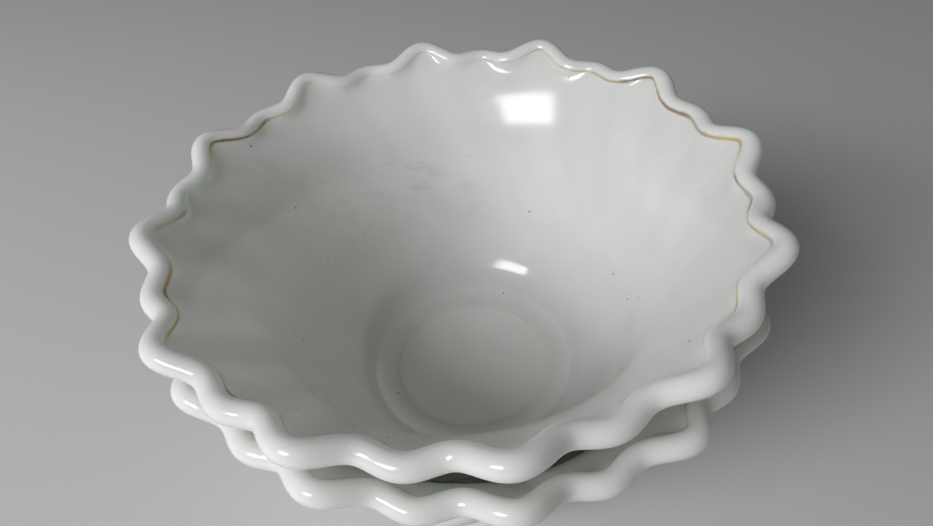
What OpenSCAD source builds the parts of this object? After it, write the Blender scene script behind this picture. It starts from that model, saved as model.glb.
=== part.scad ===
// Nested pair of scalloped pressed-glass bowls, millimetres, +Z up.
// Origin: centre of the lower bowl's foot, on the surface it stands on.
// Both bowls come from one mould: a thick rolled rim with large and small lobes in turn, a wall of
// swirled ribs that run from the lobes down to a plain round foot, and a smooth inside.

/* [Bowl] */
// Mean radius of the rolled rim's centre line
rim_r = 95.4; // [88:0.1:110]
// Height of the rim's centre line above the foot
rim_h = 99; // [92:0.5:110]
// Radius of the rolled rim's round section
bead_r = 3.6; // [3:0.1:4.2]
// Outer radius of the foot
foot_r = 39.5; // [36:0.1:44]
// Wall thickness under the rim
wall = 4.15; // [4:0.05:4.5]
// Radius of the flat floor inside
floor_r = 31; // [24:0.5:34]
// Height of the floor inside above the foot
floor_h = 11.3; // [9:0.1:13]

/* [Rim lobes and ribs] */
// Pairs of one large and one small lobe around the rim
lobe_pairs = 12; // [8:1:14]
// How far the large lobes reach out past the small ones, as a wave
large_wave = 1.7; // [0:0.05:2.2]
// Depth of the notches between all lobes, as a wave
notch_wave = 2.05; // [0.5:0.05:2.4]
// How far the large lobes rise
lobe_lift = 2; // [0:0.1:3]
// Turn of the ribs between rim and foot, in degrees
swirl = 60; // [0:1:75]

/* [Foot] */
// Radius of the recess under the foot
recess_r = 33; // [28:0.5:34]
// Depth of the recess under the foot
recess_d = 2.4; // [1:0.1:3]

/* [Nesting] */
// Height of the upper bowl above the lower one
nest_rise = 29.3; // [29.3:0.1:40]
// Lean of the upper bowl in the lower one, in degrees
lean = 5.5; // [0:0.1:5.5]
// Direction of the lean's high side, in degrees from +X
lean_dir = 38; // [0:1:359]

/* [Hidden] */
$fn = 96;
glass_colour = [0.93, 0.94, 0.94];
columns = lobe_pairs * 12;        // mesh columns: six to a lobe, so crests and notches are met
foot_band = 3.2;                  // height of the foot's plain round band
foot_edge = 1.4;                  // size of the foot's eased lower edge
top_lean = 0.93;                  // run per rise of the wall under the rim
low_lean = 1.52;                  // run per rise of the wall above the foot
top_reach = 59.4;                 // how far down the wall that upper lean bears
low_reach = 51.5;                 // how far up the wall that lower lean bears
top_inset = 1;                    // the wall's top lies this far inside the rim's centre line
foot_thick = 1.9;                 // extra wall thickness at the foot
fillet_t = 0.3;                   // where the inside wall meets the floor fillet, 0 foot, 1 rim
rib_foot = 0.3;                   // share of the rim's wave that is left at the foot

// The outer wall is one S-shaped curve: full above the foot, steep at the waist, flared at the rim.
wall_0 = [foot_r, foot_band];
wall_3 = [rim_r - top_inset, rim_h - bead_r];
wall_1 = wall_0 + low_reach * [low_lean, 1] / norm([low_lean, 1]);
wall_2 = wall_3 - top_reach * [top_lean, 1] / norm([top_lean, 1]);

function bend(t, a, b, c) = (1 - t) * (1 - t) * a + 2 * t * (1 - t) * b + t * t * c;
function outer(t) = pow(1 - t, 3) * wall_0 + 3 * t * pow(1 - t, 2) * wall_1
    + 3 * t * t * (1 - t) * wall_2 + t * t * t * wall_3;
function along(t) = let (v = bend(t, wall_1 - wall_0, wall_2 - wall_1, wall_3 - wall_2)) v / norm(v);
function inner(t) = outer(t) + (wall + foot_thick * (1 - t)) * [-along(t).y, along(t).x];

// The inside fillet runs from the wall's end point down to the flat floor.
fillet_2 = inner(fillet_t);
fillet_1 = [fillet_2.x - along(fillet_t).x / along(fillet_t).y * (fillet_2.y - floor_h), floor_h];
fillet_0 = [floor_r, floor_h];

// Waves around the bowl: out at each lobe, in at each notch, large lobes a little higher.
function wave(a) = large_wave * cos(lobe_pairs * a) + notch_wave * cos(2 * lobe_pairs * a);
function lift(a) = lobe_lift * cos(lobe_pairs * a) + 0.3 * lobe_lift * cos(2 * lobe_pairs * a);
function turn(h) = -swirl * pow(max(0, 1 - h / rim_h), 1.8);

// One row of the section: [radius, height, share of wave, share of lift, 1 if it follows the swirl]
foot_rows = [
    [foot_r - foot_edge, 0, 0, 0, 1],
    [foot_r, foot_edge, 0, 0, 1],
    [foot_r, foot_band, 0, 0, 1]
];
outer_t = [0.1, 0.22, 0.36, 0.5, 0.64, 0.78, 0.9, 0.97];
outer_rows = [for (t = outer_t)
    [outer(t).x, outer(t).y, min(1, rib_foot + 0.75 * pow(t, 3)), pow(t, 12), 1]];
bead_rows = [for (b = [-50, -10, 30, 70, 110, 145, 175])
    [rim_r + bead_r * cos(b), rim_h + bead_r * sin(b), 1, 1, 1]];
inner_rows = [for (t = [0.97, 0.94, 0.9, 0.82, 0.7, 0.56, 0.42, fillet_t])
    [inner(t).x, inner(t).y, pow(t, 28), pow(t, 20), 0]];
floor_rows = [for (t = [0.7, 0.35, 0])
    let (p = bend(t, fillet_0, fillet_1, fillet_2)) [p.x, p.y, 0, 0, 0]];
rows = concat(foot_rows, outer_rows, bead_rows, inner_rows, floor_rows);

function row_point(row, a) =
    let (r = row[0] + row[2] * wave(a), th = a + row[4] * turn(row[1]))
    [r * cos(th), r * sin(th), row[1] + row[3] * lift(a)];

module bowl_shell() {
    n = columns;
    m = len(rows);
    points = [for (row = rows, i = [0:n - 1]) row_point(row, i * 360 / n)];
    sides = [for (j = [0:m - 2], i = [0:n - 1])
        let (k = (i + 1) % n, a = j * n + i, b = j * n + k, c = a + n, d = b + n)
        each [[a, d, b], [a, c, d]]];
    under = [for (i = [0:n - 1]) i];
    floor_face = [for (i = [n - 1:-1:0]) (m - 1) * n + i];
    polyhedron(points, concat(sides, [under, floor_face]), convexity = 6);
}

module bowl() {
    difference() {
        bowl_shell();
        translate([0, 0, -1]) cylinder(r = recess_r, h = recess_d + 1);
    }
}

module lower_bowl() {
    color(glass_colour) bowl();
}

// The upper bowl leans about the centre of the lower bowl's rim.
module upper_bowl() {
    color(glass_colour)
        translate([0, 0, rim_h]) rotate([0, 0, lean_dir]) rotate([0, -lean, 0])
            rotate([0, 0, -lean_dir]) translate([0, 0, nest_rise - rim_h]) bowl();
}

lower_bowl();
upper_bowl();
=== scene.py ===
"""Looks of a nested pair of scalloped white pressed-glass serving bowls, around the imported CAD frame.

Both bowls come from one mould, so one mesh function makes them: a foot, a wall of swirled leaf-shaped
ribs, a rolled rim of large and small lobes, and a smooth inside. The upper bowl leans in the lower one.
"""

import math

import bpy
import numpy as np
from mathutils import Matrix, Vector


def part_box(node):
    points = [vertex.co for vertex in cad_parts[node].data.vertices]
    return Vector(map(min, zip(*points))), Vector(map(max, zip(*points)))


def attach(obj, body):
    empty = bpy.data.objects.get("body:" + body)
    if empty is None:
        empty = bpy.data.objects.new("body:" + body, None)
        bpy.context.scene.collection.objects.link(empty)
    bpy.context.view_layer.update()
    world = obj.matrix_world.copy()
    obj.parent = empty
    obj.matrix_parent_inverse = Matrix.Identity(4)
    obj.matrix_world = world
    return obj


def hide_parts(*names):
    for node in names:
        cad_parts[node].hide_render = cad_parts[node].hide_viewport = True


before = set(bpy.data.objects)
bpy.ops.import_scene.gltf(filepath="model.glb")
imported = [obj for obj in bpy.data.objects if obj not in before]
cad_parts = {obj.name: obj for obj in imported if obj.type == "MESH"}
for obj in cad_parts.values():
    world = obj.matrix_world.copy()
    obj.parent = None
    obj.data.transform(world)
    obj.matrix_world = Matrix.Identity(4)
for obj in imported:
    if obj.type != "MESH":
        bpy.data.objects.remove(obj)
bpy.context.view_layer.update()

# ---------------------------------------------------------------- sizes of one bowl, in millimetres
# A place t on the wall is 0 at the top of the foot's plain band and 1 at the rim.

NOMINAL_WIDTH = 205.4      # across the large lobes, as the sizes below make it
RIM_R = 95.4               # mean radius of the rolled rim's centre line
RIM_H = 99.0               # its height above the foot
BEAD_R = 3.6               # radius of the rolled rim's section
BEAD_START = math.radians(-62)   # where the bead leaves the outer wall, around its section
BEAD_END = math.radians(163)     # where it meets the inner wall in a corner

FOOT_R = 39.5
FOOT_BAND = 3.2            # height of the foot's plain band
FOOT_SECTION = (           # radius and height of the foot's rings, from its inner edge to its outer band
    (33.3, 0.35), (33.9, 0.08), (35.0, 0.0), (36.6, 0.0), (37.9, 0.12), (38.8, 0.55), (39.3, 1.2),
    (39.5, 2.0), (39.5, 2.7),
)
RECESS_R = 33.0            # recess under the foot
RECESS_D = 2.4
RECESS_EDGE = 1.6          # radius of the rounding round the recess's ceiling
RECESS_SAG = 0.25          # how far the ceiling sags in the middle

LOW_LEAN = 1.52            # run per rise of the wall above the foot
LOW_REACH = 51.5           # how far up the wall that lean bears
TOP_LEAN = 0.93            # run per rise of the wall under the rim
TOP_REACH = 59.4           # how far down the wall that lean bears
TOP_INSET = 1.0            # the wall's top lies this far inside the rim's centre line
WALL = 4.15                # wall thickness under the rim
FOOT_THICK = 1.9           # extra wall thickness at the foot
RIM_THIN = 0.25            # how much thinner the wall gets on its way to the bead
COLLAR_T = 0.885           # where it starts to thin, in a faint crease round the inside
COLLAR_SOFT = 0.04         # rounding of that crease, as a share of the wall above it
WALL_TOP = 0.99            # where the inner wall meets the bead, on average
SLIDE_POWER = 28           # power of t by which it is drawn along its own surface to the bead's corner
ACROSS_POWER = 130         # and across it, which is higher, so only close to the rim

FILLET_T = 0.3             # where the inner wall meets the floor's fillet
FLOOR_H = 11.3             # height of the flat floor inside
BASIN_R = 40.0             # crease where the fillet bends into the shallow basin round the floor
BASIN_H = 13.3
BASIN_SECTION = (          # radius and height of the basin's rings, down to the flat floor and its middle
    (39.7, 13.15), (38, 12.25), (36, 11.5), (34, 11.02), (32, 10.85), (31.3, 10.9), (31.0, 11.15),
    (30.5, 11.28), (29, FLOOR_H), (24, FLOOR_H), (17, FLOOR_H), (9, FLOOR_H), (4, FLOOR_H),
)

# ---------------------------------------------------------------- waves, ribs and veins round the bowl

LOBE_PAIRS = 12            # large and small lobes in turn
PAIR = 2 * math.pi / LOBE_PAIRS  # angle from one large lobe to the next
LARGE_WAVE = 1.7           # how far the large lobes reach out past the small ones, as a wave
NOTCH_WAVE = 2.05          # depth of the notches between all lobes, as a wave
LOBE_LIFT = 2.0            # how far the large lobes rise, as a wave
NOTCH_LIFT = 0.3           # share of it by which all lobes rise and all notches sink
WAVE_ON_WALL = 0.25        # share of the rim's wave that goes on down the outer wall
WAVE_AT_FOOT = 0.35        # share of that which is left at the foot
WAVE_POWER = 6             # power of t by which the outer wall takes on the rest of the wave
LIFT_POWER = 12            # and the lift
SWIRL = math.radians(60)   # turn of the ribs between rim and foot
SWIRL_POWER = 1.8          # over 1, the ribs turn more near the foot

RIB_RELIEF = 1.45          # height of the large ribs' backs over the valleys
LARGE_HALF = 0.285 * PAIR  # half widths of a large and a small rib, half a pair together
SMALL_HALF = 0.215 * PAIR
SMALL_HEIGHT = 0.72        # height of the small ribs, as a share of the large ones'
RIB_SKEW = 0.22            # how far the ribs' crests lie to one side of their middles
RIB_POWER = 0.85           # under 1, the ribs' backs are fuller than a cosine
RIB_SUNK = 0.55            # share of the relief that lies under the wall's mean line
RIB_START = 0.12           # where on the wall the ribs have reached their full depth
RIB_END_POWER = 6          # power of t by which they fade out under the rim

VEINS = ((0, 0.55), (1, 0.3), (-1, 0.3))   # side of the midrib, and depth of the groove
VEIN_SPREAD = 0.17 * PAIR  # how far the side veins lie from the midrib at the foot
VEIN_SPREAD_POWER = 0.6    # power of the way down by which they spread
VEIN_HALF = 0.75           # half width of a vein
VEIN_R = 75                # radius at which it has that width
VEIN_END = 5               # how fast the veins' relief ends under the rim

# ---------------------------------------------------------------- stain, dirt, painted shade in the rib valleys, and scuffs

SEAM_WIDTH = 1.2           # how far the stain reaches from the corner under the bead
STAIN_CLEAN_SIDE = math.radians(88)   # the stain is least at this side and at the one opposite
STAIN_LEAST = 0.3          # its share there
VALLEY_SHADE_LEVEL = -0.3          # ribs' height under which the painted shade of the valleys starts
VALLEY_SHADE_DEPTH = 0.2           # how far under it the painted shade is darkest
SCUFF_SIDE = math.radians(104)   # middle of the scuffed part of the inner wall
SCUFF_SPREAD = math.radians(30)  # how far it spreads to both sides
SCUFF_HEIGHT = 72.0        # height of its middle
SCUFF_REACH = 17.0         # how far it spreads up and down
SCUFF_LEAST = 0.1          # share of the scuffs that the rest of the inside has

# ---------------------------------------------------------------- mesh density

COLUMNS = LOBE_PAIRS * 40  # around a bowl
MIDDLE_R = 3               # radius of the smallest ring under the foot
UNDER_RINGS = 7
EDGE_ANGLES = (15, 40, 65, 90)   # rings round the recess's rounded edge
OUTER_RINGS = 62
BEAD_RINGS = 26
INNER_RINGS = 56
INNER_POWER = 1.8          # over 1, the inner wall's rings lie closer together near the rim
FILLET_RINGS = 12

# ---------------------------------------------------------------- how the bowls nest, and scale

NEST_RISE = 29.3           # the upper bowl's height above the lower one
LEAN = math.radians(5.5)
LEAN_DIR = math.radians(38)      # direction of the lean's high side

low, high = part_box("lower_bowl")
MM = (high.x - low.x) / NOMINAL_WIDTH
RIM_CENTRE = Vector((0, 0, RIM_H * MM))


# ---------------------------------------------------------------- the section of the wall

def unit(v):
    return np.array(v, float) / np.linalg.norm(v)


# The outer wall's mean line is a cubic curve: full above the foot, steep at the waist, flared at the rim.
WALL_0 = np.array([FOOT_R, FOOT_BAND])
WALL_3 = np.array([RIM_R - TOP_INSET, RIM_H - BEAD_R])
WALL_1 = WALL_0 + LOW_REACH * unit([LOW_LEAN, 1])
WALL_2 = WALL_3 - TOP_REACH * unit([TOP_LEAN, 1])
WALL_LENGTH = 3 * TOP_REACH      # the wall's length for each unit of t, at the rim


def bend(t, a, b, c):
    """Point of a quadratic curve from a to c that is drawn towards b."""
    return (1 - t) ** 2 * a + 2 * t * (1 - t) * b + t * t * c


def outer(t):
    """Radius and height of the outer wall's mean line."""
    t = np.asarray(t, float)[..., None]
    return (
        (1 - t) ** 3 * WALL_0
        + 3 * t * (1 - t) ** 2 * WALL_1
        + 3 * t * t * (1 - t) * WALL_2
        + t ** 3 * WALL_3
    )


def along(t):
    """Direction of the outer wall's mean line, up towards the rim."""
    t = np.asarray(t, float)[..., None]
    way = bend(t, WALL_1 - WALL_0, WALL_2 - WALL_1, WALL_3 - WALL_2)
    return way / np.linalg.norm(way, axis=-1, keepdims=True)


def soft_ramp(t, start, end):
    """0 up to the start, then straight up to nearly 1 at the end, with the lower corner rounded."""
    x = (t - start) / (end - start)
    return np.minimum(np.hypot(np.clip(x, 0, None), COLLAR_SOFT) - COLLAR_SOFT, 1.0)


def inner(t):
    """Radius and height of the smooth inner wall, a wall's thickness inside the outer one."""
    t = np.asarray(t, float)
    way = along(t)
    normal = np.stack([-way[..., 1], way[..., 0]], -1)
    thick = WALL + FOOT_THICK * (1 - t) - RIM_THIN * soft_ramp(t, COLLAR_T, 1.0)
    return outer(t) + thick[..., None] * normal


def turn(height):
    """How far the ribs have swirled at a height, 0 at the rim."""
    return -SWIRL * np.clip(1 - height / RIM_H, 0, None) ** SWIRL_POWER


# ---------------------------------------------------------------- waves and ribs around the bowl

def wave(a):
    """How far the rim is out from its mean radius at an angle."""
    return LARGE_WAVE * np.cos(LOBE_PAIRS * a) + NOTCH_WAVE * np.cos(2 * LOBE_PAIRS * a)


def wave_slope(a):
    return -LOBE_PAIRS * (
        LARGE_WAVE * np.sin(LOBE_PAIRS * a) + 2 * NOTCH_WAVE * np.sin(2 * LOBE_PAIRS * a)
    )


def lift(a):
    """How far the rim is up from its mean height at an angle."""
    return LOBE_LIFT * (np.cos(LOBE_PAIRS * a) + NOTCH_LIFT * np.cos(2 * LOBE_PAIRS * a))


def from_large_lobe(a):
    """Angle from the nearest large lobe."""
    return (a + PAIR / 2) % PAIR - PAIR / 2


def ribs(a):
    """Rounded ribs with sharp valleys: a broad leaf at each large lobe, a narrower one at each small."""
    x = from_large_lobe(a)
    on_large = np.abs(x) < LARGE_HALF
    small_x = (np.abs(x) - PAIR / 2) * np.sign(x)
    s = np.where(on_large, x / LARGE_HALF, small_x / SMALL_HALF)
    height = np.where(on_large, 1.0, SMALL_HEIGHT)
    skewed = np.clip(s + RIB_SKEW * (1 - s * s), -1, 1)
    return height * np.cos(skewed * math.pi / 2) ** RIB_POWER - RIB_SUNK


def veins(a, t):
    """Fine grooves on the large leaves: a midrib, and two side veins that spread on the way down."""
    x = from_large_lobe(a)
    spread = VEIN_SPREAD * (1 - t) ** VEIN_SPREAD_POWER
    cut = 0.0
    for side, depth in VEINS:
        cut = cut + depth * np.exp(-(((x - side * spread) * VEIN_R) / VEIN_HALF) ** 2)
    return cut


def rib_fade(t):
    """The ribs' share of their full depth: none at the foot and none at the rim."""
    return min(1.0, t / RIB_START) * (1 - t ** RIB_END_POWER)


def valley_shade_mask(a, t):
    """Mask of painted shade: 1 in the sharp valleys between ribs, less in the veins, 0 on the ribs' backs.
    """
    valley = np.clip((VALLEY_SHADE_LEVEL - ribs(a)) / VALLEY_SHADE_DEPTH, 0, 1)
    return np.clip(valley + veins(a, t), 0, 1) * rib_fade(t)


# ---------------------------------------------------------------- rings of points
# A row function takes the angles of the mesh columns. It gives the radius, height and angle of each
# point of one ring.

def outer_row(t):
    """Outer wall: ribs that fade out at the foot and turn into the rim's wave under the bead."""
    r, h = outer(t)
    wave_share = (WAVE_ON_WALL + (1 - WAVE_ON_WALL) * t ** WAVE_POWER) * min(1.0, WAVE_AT_FOOT + t)
    vein_share = rib_fade(t) * min(1.0, (1 - t) * VEIN_END)

    def row(a):
        relief = RIB_RELIEF * rib_fade(t) * ribs(a) - vein_share * veins(a, t)
        return r + wave_share * wave(a) + relief, h + lift(a) * t ** LIFT_POWER, a + turn(h)
    return row


def round_row(r, h, swirled=True):
    """Plain round ring. Outside, its columns are turned with the ribs, so that they run straight on."""
    def row(a):
        return r + 0 * a, h + 0 * a, a + (turn(h) if swirled else 0.0)
    return row


def bead_point(a, b):
    """Point of the rolled rim, a round section at a right angle to the lobed centre line."""
    r = RIM_R + wave(a)
    slope = wave_slope(a) / r
    out = BEAD_R * np.cos(b) / np.sqrt(1 + slope ** 2)
    x = r + out
    y = -out * slope
    return np.hypot(x, y), RIM_H + lift(a) + BEAD_R * np.sin(b), a + np.arctan2(y, x)


def bead_row(b):
    """Ring of the bead at one angle round its section."""
    def row(a):
        return bead_point(a, b)
    return row


def inner_row(t):
    """Ring of the smooth inner wall, which near the rim is drawn to the corner under the bead.

    It is drawn along its own surface first, so that it stays smooth, and only the rest of the way
    across it, close to the rim.
    """
    def row(a):
        corner_r, corner_h, corner_angle = bead_point(a, BEAD_END)
        x, z = along(WALL_TOP)
        away = np.stack([corner_r, corner_h], -1) - inner(WALL_TOP)
        slide = away @ np.array([x, z]) / WALL_LENGTH
        across = away @ np.array([-z, x])
        share = (t / WALL_TOP) ** SLIDE_POWER
        near_rim = (t / WALL_TOP) ** ACROSS_POWER
        point = inner(t + share * slide) + (near_rim * across)[:, None] * np.array([-z, x])
        return point[:, 0], point[:, 1], a + share * (corner_angle - a)
    return row


def section():
    """All rings of the bowl from the middle of its underside, up the outside, over the rim, to the floor.

    Each ring has its row function, the zone it belongs to, and its place on the wall.
    """
    rings = []

    def add(row, zone, t=0.0):
        rings.append((row, zone, t))

    ceiling_r = RECESS_R - RECESS_EDGE
    for r in np.linspace(MIDDLE_R, ceiling_r, UNDER_RINGS):
        add(round_row(r, RECESS_D - RECESS_SAG * (1 - (r / ceiling_r) ** 2)), "under")
    for b in np.radians(EDGE_ANGLES):
        r = ceiling_r + RECESS_EDGE * math.sin(b)
        h = RECESS_D - RECESS_EDGE * (1 - math.cos(b))
        add(round_row(r, h), "under")
    for r, h in FOOT_SECTION:
        add(round_row(r, h), "foot")

    for t in np.linspace(0, 1, OUTER_RINGS):
        add(outer_row(t), "outside", t)

    round_bead = np.linspace(BEAD_START, BEAD_END - 0.1, BEAD_RINGS)
    close_to_corner = [BEAD_END - 0.03, BEAD_END]
    for b in np.append(round_bead, close_to_corner):
        add(bead_row(b), "rim")

    down = np.linspace(0.02, 1, INNER_RINGS) ** INNER_POWER
    for t in WALL_TOP - (WALL_TOP - FILLET_T) * down:
        add(inner_row(t), "inside", t)

    wall_end = inner(FILLET_T)
    x, z = along(FILLET_T)
    fillet = np.array([wall_end[0] - x / z * (wall_end[1] - BASIN_H), BASIN_H])
    basin_rim = np.array([BASIN_R, BASIN_H])
    round_fillet = np.linspace(1, 0, FILLET_RINGS)[1:-1]
    for t in np.append(round_fillet, [0.03, 0.0]):
        r, h = bend(t, basin_rim, fillet, wall_end)
        add(round_row(r, h, swirled=False), "inside")
    for r, h in BASIN_SECTION:
        add(round_row(r, h, swirled=False), "inside")
    return rings


# ---------------------------------------------------------------- mesh of one bowl

def scuff_share(row, a):
    """Where spoons have scuffed the inner wall: mostly one side, over the middle of the wall."""
    _, h, _ = row(a)
    side = (a - SCUFF_SIDE + math.pi) % (2 * math.pi) - math.pi
    spot = np.exp(-(side / SCUFF_SPREAD) ** 2 - ((h - SCUFF_HEIGHT) / SCUFF_REACH) ** 2)
    return SCUFF_LEAST + (1 - SCUFF_LEAST) * spot


def put_attribute(mesh, name, rings, middle_values):
    """A number at each point: one array for each ring, then the two middle points."""
    values = np.concatenate(rings + [np.array(middle_values, float)])
    mesh.attributes.new(name, "FLOAT", "POINT").data.foreach_set("value", values.astype(np.float32))


def closed_faces(n, m):
    """Faces over m rings of n points, then a fan of triangles round each of the two middle points."""
    i = np.arange(n)
    k = (i + 1) % n
    faces = []
    for j in range(m - 1):
        faces += np.stack([j * n + i, j * n + k, (j + 1) * n + k, (j + 1) * n + i], -1).tolist()
    faces += [[int(b), int(c), n * m] for b, c in zip(k, i)]
    faces += [[int(b) + (m - 1) * n, int(c) + (m - 1) * n, n * m + 1] for b, c in zip(i, k)]
    return faces


def bowl_mesh(name):
    rings = section()
    a = np.arange(COLUMNS) * 2 * math.pi / COLUMNS
    grid = []
    for row, _, _ in rings:
        r, h, angle = row(a)
        grid.append(np.stack([r * np.cos(angle), r * np.sin(angle), h], -1))
    points = np.array(grid)
    under_middle = [0, 0, points[0, 0, 2]]
    floor_middle = [0, 0, points[-1, 0, 2]]
    verts = np.concatenate([points.reshape(-1, 3), [under_middle, floor_middle]]) * MM
    mesh = bpy.data.meshes.new(name)
    mesh.from_pydata(verts.tolist(), [], closed_faces(COLUMNS, len(rings)))
    mesh.shade_smooth()

    flat = np.ones(COLUMNS)
    for zone in ("inside", "foot"):
        put_attribute(mesh, zone, [flat * (z == zone) for _, z, _ in rings], [0, zone == "inside"])
    scuffed = [scuff_share(row, a) * (z == "inside") for row, z, _ in rings]
    put_attribute(mesh, "scuffed", scuffed, [0, 0])
    corner = [zone for _, zone, _ in rings].index("inside")
    from_corner = np.linalg.norm(points - points[corner], axis=-1)
    stained_sides = STAIN_LEAST + (1 - STAIN_LEAST) * np.abs(np.sin(a - STAIN_CLEAN_SIDE))
    put_attribute(mesh, "rim_seam", list(np.exp(-from_corner / SEAM_WIDTH) * stained_sides), [0, 0])
    put_attribute(mesh, "painted_valley_shade", [valley_shade_mask(a, t) * (z == "outside") for _, z, t in rings], [0, 0])
    return mesh


# ---------------------------------------------------------------- material

GLASS_DULL = (0.735, 0.735, 0.70, 1)
GLASS_CLEAR = (0.79, 0.785, 0.755, 1)
SCUFF_GREY = (0.36, 0.36, 0.35, 1)
SPECK_BLACK = (0.05, 0.045, 0.04, 1)
STAIN_YELLOW = (0.56, 0.43, 0.14, 1)
STAIN_BROWN = (0.26, 0.16, 0.07, 1)
# painted shade: dark brown laid into the valleys between the outer ribs
VALLEY_PAINTED_SHADE = (0.20, 0.165, 0.14, 1)
FOOT_DIRT = (0.30, 0.28, 0.25, 1)
SCRATCH_TILT = (0.2, 0.55, 0.15)     # radians: the scratches' direction follows none of the axes


class Nodes:
    """Short names for the few node patterns that the glass uses."""

    def __init__(self, name):
        self.material = bpy.data.materials.new(name)
        self.material.use_nodes = True
        self.tree = self.material.node_tree
        self.shader = self.tree.nodes["Principled BSDF"]
        self.place = self.tree.nodes.new("ShaderNodeTexCoord").outputs["Object"]

    def feed(self, value, socket):
        """Link a socket, or set a plain number or colour on it."""
        if isinstance(value, bpy.types.NodeSocket):
            self.tree.links.new(value, socket)
        else:
            socket.default_value = value

    def noise(self, scale, detail, stretch=None):
        node = self.tree.nodes.new("ShaderNodeTexNoise")
        node.inputs["Scale"].default_value = scale
        node.inputs["Detail"].default_value = detail
        self.feed(self.stretched(stretch) if stretch else self.place, node.inputs["Vector"])
        return node.outputs["Fac"]

    def stretched(self, stretch):
        node = self.tree.nodes.new("ShaderNodeMapping")
        node.inputs["Scale"].default_value = stretch
        node.inputs["Rotation"].default_value = SCRATCH_TILT
        self.feed(self.place, node.inputs["Vector"])
        return node.outputs["Vector"]

    def dots(self, scale, radius):
        """1 in small round dots, 0 between them."""
        node = self.tree.nodes.new("ShaderNodeTexVoronoi")
        node.inputs["Scale"].default_value = scale
        self.feed(self.place, node.inputs["Vector"])
        return self.between(node.outputs["Distance"], radius, radius * 0.6)

    def attribute(self, name):
        node = self.tree.nodes.new("ShaderNodeAttribute")
        node.attribute_name = name
        return node.outputs["Fac"]

    def between(self, value, low, high):
        """0 where the value is under low, 1 where it is over high; the other way round if high is less."""
        node = self.tree.nodes.new("ShaderNodeMapRange")
        node.interpolation_type = "SMOOTHSTEP"
        self.feed(value, node.inputs["Value"])
        falls = high < low
        node.inputs["From Min"].default_value = high if falls else low
        node.inputs["From Max"].default_value = low if falls else high
        node.inputs["To Min"].default_value = 1.0 if falls else 0.0
        node.inputs["To Max"].default_value = 0.0 if falls else 1.0
        return node.outputs["Result"]

    def maths(self, kind, a, b):
        node = self.tree.nodes.new("ShaderNodeMath")
        node.operation = kind
        self.feed(a, node.inputs[0])
        self.feed(b, node.inputs[1])
        return node.outputs["Value"]

    def plus(self, a, b):
        return self.maths("ADD", a, b)

    def times(self, a, b):
        return self.maths("MULTIPLY", a, b)

    def mix(self, factor, a, b):
        node = self.tree.nodes.new("ShaderNodeMix")
        node.data_type = "RGBA"
        self.feed(factor, node.inputs["Factor"])
        self.feed(a, node.inputs["A"])
        self.feed(b, node.inputs["B"])
        return node.outputs["Result"]

    def cover(self, colour, where, share, paint):
        """The colour, with a share of it painted over where the mask is 1."""
        return self.mix(self.times(where, share), colour, paint)

    def bump(self, height, distance, strength):
        node = self.tree.nodes.new("ShaderNodeBump")
        node.inputs["Strength"].default_value = strength
        node.inputs["Distance"].default_value = distance
        self.feed(height, node.inputs["Height"])
        self.feed(node.outputs["Normal"], self.shader.inputs["Normal"])


def glass_material():
    """White pressed glass: cloudy, a little green in its depth, stained and scuffed by use, with painted
    shade in the valleys between its ribs.
    """
    n = Nodes("white_glass")
    n.shader.inputs["IOR"].default_value = 1.52
    n.shader.inputs["Subsurface Weight"].default_value = 0.7
    n.shader.inputs["Subsurface Radius"].default_value = (0.85, 1.0, 0.9)
    n.shader.inputs["Subsurface Scale"].default_value = 0.012

    clouds = n.between(n.noise(22, 4), 0.35, 0.68)
    colour = n.mix(clouds, GLASS_DULL, GLASS_CLEAR)

    patches = n.between(n.noise(30, 3), 0.42, 0.62)
    scratches = n.between(n.noise(300, 6, stretch=(0.22, 1.0, 0.7)), 0.5, 0.7)
    scuffs = n.times(n.times(n.attribute("scuffed"), patches), scratches)
    colour = n.cover(colour, scuffs, 0.55, SCUFF_GREY)

    specks = n.times(n.attribute("inside"), n.dots(120, 0.065))
    specks = n.times(specks, n.between(n.noise(35, 1), 0.53, 0.57))
    colour = n.cover(colour, specks, 0.75, SPECK_BLACK)

    ragged_seam = n.plus(n.attribute("rim_seam"), n.times(n.noise(240, 3), 0.5))
    stain = n.times(n.between(ragged_seam, 0.62, 1.0), n.between(n.noise(26, 3), 0.34, 0.54))
    stain_colour = n.mix(n.between(n.noise(40, 2), 0.42, 0.58), STAIN_YELLOW, STAIN_BROWN)
    colour = n.cover(colour, stain, 0.85, stain_colour)

    # painted shade: the valleys between the ribs and the veins darkened towards brown
    valleys = n.times(n.attribute("painted_valley_shade"), n.between(n.noise(60, 4), 0.3, 0.62))
    colour = n.cover(colour, valleys, 0.55, VALLEY_PAINTED_SHADE)
    foot = n.times(n.attribute("foot"), n.between(n.noise(90, 4), 0.4, 0.62))
    colour = n.cover(colour, foot, 0.5, FOOT_DIRT)
    n.feed(colour, n.shader.inputs["Base Color"])

    smears = n.between(n.noise(18, 5), 0.4, 0.72)
    polished = n.plus(0.11, n.times(smears, 0.1))
    dirt = n.plus(n.times(stain, 0.3), n.times(foot, 0.35))
    worn = n.plus(n.times(scuffs, 0.25), dirt)
    n.feed(n.plus(polished, worn), n.shader.inputs["Roughness"])
    n.bump(n.noise(42, 2), distance=0.0006, strength=0.18)
    return n.material


# ---------------------------------------------------------------- pieces

def upper_place():
    """The upper bowl's place: raised, then leaned about the centre of the lower bowl's rim."""
    about = Matrix.Translation(RIM_CENTRE)
    turned = Matrix.Rotation(LEAN_DIR, 4, "Z")
    lean = Matrix.Rotation(-LEAN, 4, "Y")
    raise_up = Matrix.Translation(Vector((0, 0, NEST_RISE * MM)) - RIM_CENTRE)
    return about @ turned @ lean @ turned.inverted() @ raise_up


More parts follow.
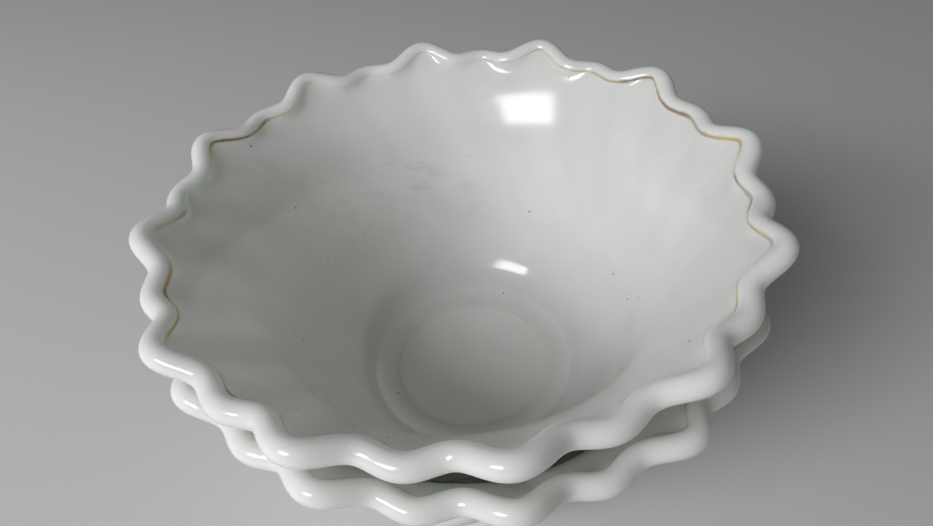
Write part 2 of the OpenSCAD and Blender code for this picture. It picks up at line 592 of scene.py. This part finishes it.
def make_bowl(name, node, place, material):
    mesh = bowl_mesh(name)
    mesh.transform(place)
    mesh.materials.append(material)
    obj = bpy.data.objects.new(name, mesh)
    bpy.context.scene.collection.objects.link(obj)
    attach(obj, node)
    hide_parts(node)


STAGE_HALF = 3.0           # half the side of the floor under the bowls, in metres
STAGE_GREY = (0.68, 0.67, 0.66, 1)


def make_floor():
    """The plain pale surface that the bowls stand on."""
    half = STAGE_HALF
    corners = [(-half, -half, 0), (half, -half, 0), (half, half, 0), (-half, half, 0)]
    mesh = bpy.data.meshes.new("floor")
    mesh.from_pydata(corners, [], [(0, 1, 2, 3)])
    obj = bpy.data.objects.new("floor", mesh)
    bpy.context.scene.collection.objects.link(obj)
    mat = bpy.data.materials.new("floor")
    mat.use_nodes = True
    shader = mat.node_tree.nodes["Principled BSDF"]
    shader.inputs["Base Color"].default_value = STAGE_GREY
    shader.inputs["Roughness"].default_value = 0.6
    mesh.materials.append(mat)


# ---------------------------------------------------------------- camera and light

CAMERA_AZIMUTH = math.radians(-97.3)
CAMERA_ELEVATION = math.radians(39.82)
CAMERA_DISTANCE = 235.2 * MM         # from the centre of the lower bowl's rim
CAMERA_YAW = math.radians(-0.44)     # small turns away from facing that centre
CAMERA_PITCH = math.radians(-0.28)
CAMERA_ROLL = math.radians(1.25)
LENS = 25.5                          # for a sensor 36 mm wide
SENSOR = 36

SKY_LOW = (0.075, 0.066, 0.06, 1)    # light of the room from the horizon and below
SKY_MIDDLE = (0.088, 0.08, 0.074, 1)
SKY_HIGH = (0.15, 0.151, 0.154, 1)   # and from overhead
MIDDLE_AT = 0.3                      # upward part of the direction at which each is reached
HIGH_AT = 0.8


def direction(azimuth, elevation):
    flat = math.cos(elevation)
    return Vector((flat * math.cos(azimuth), flat * math.sin(azimuth), math.sin(elevation)))


def make_camera():
    camera = bpy.data.objects.new("camera", bpy.data.cameras.new("camera"))
    camera.data.lens = LENS
    camera.data.sensor_width = SENSOR
    camera.data.clip_start = 0.01
    back = direction(CAMERA_AZIMUTH, CAMERA_ELEVATION)
    facing = back.to_track_quat("Z", "Y").to_matrix()
    small = (
        Matrix.Rotation(CAMERA_YAW, 3, "Y")
        @ Matrix.Rotation(CAMERA_PITCH, 3, "X")
        @ Matrix.Rotation(-CAMERA_ROLL, 3, "Z")
    )
    stand = Matrix.Translation(RIM_CENTRE + CAMERA_DISTANCE * back)
    camera.matrix_world = stand @ (facing @ small).to_4x4()
    bpy.context.scene.collection.objects.link(camera)
    bpy.context.scene.camera = camera


def area_light(name, azimuth, elevation, distance, width, height, power, colour, mirrored=True):
    """A rectangle that faces the bowls, degrees and metres from the centre of the lower bowl's rim."""
    light = bpy.data.lights.new(name, "AREA")
    light.shape = "RECTANGLE"
    light.size = width
    light.size_y = height
    light.energy = power
    light.color = colour
    obj = bpy.data.objects.new(name, light)
    toward = direction(math.radians(azimuth), math.radians(elevation))
    facing = toward.to_track_quat("Z", "Y").to_matrix().to_4x4()
    obj.matrix_world = Matrix.Translation(RIM_CENTRE + distance * toward) @ facing
    obj.visible_glossy = mirrored
    bpy.context.scene.collection.objects.link(obj)


def make_world():
    """A dim room, brown at the horizon and grey overhead."""
    world = bpy.data.worlds.new("studio")
    world.use_nodes = True
    nodes = world.node_tree.nodes
    links = world.node_tree.links
    coords = nodes.new("ShaderNodeTexCoord")
    split = nodes.new("ShaderNodeSeparateXYZ")
    ramp = nodes.new("ShaderNodeValToRGB")
    links.new(coords.outputs["Generated"], split.inputs[0])
    links.new(split.outputs["Z"], ramp.inputs["Fac"])
    links.new(ramp.outputs["Color"], nodes["Background"].inputs["Color"])
    stops = ramp.color_ramp.elements
    stops[0].color = SKY_LOW
    stops[1].position = HIGH_AT
    stops[1].color = SKY_HIGH
    stops.new(MIDDLE_AT).color = SKY_MIDDLE
    bpy.context.scene.world = world


bpy.context.scene.view_settings.view_transform = "Standard"
make_camera()
make_world()
# The bowls mirror the window; the daylight from beside it only lights them.
area_light(
    "window", azimuth=-140, elevation=34, distance=1.6, width=0.62, height=0.48,
    power=12, colour=(0.94, 0.965, 1.0),
)
area_light(
    "daylight", azimuth=-154, elevation=22, distance=1.8, width=1.0, height=0.5,
    power=14, colour=(0.95, 0.97, 1.0), mirrored=False,
)
make_floor()
glass = glass_material()
make_bowl("glass_lower_bowl", "lower_bowl", Matrix.Identity(4), glass)
make_bowl("glass_upper_bowl", "upper_bowl", upper_place(), glass)
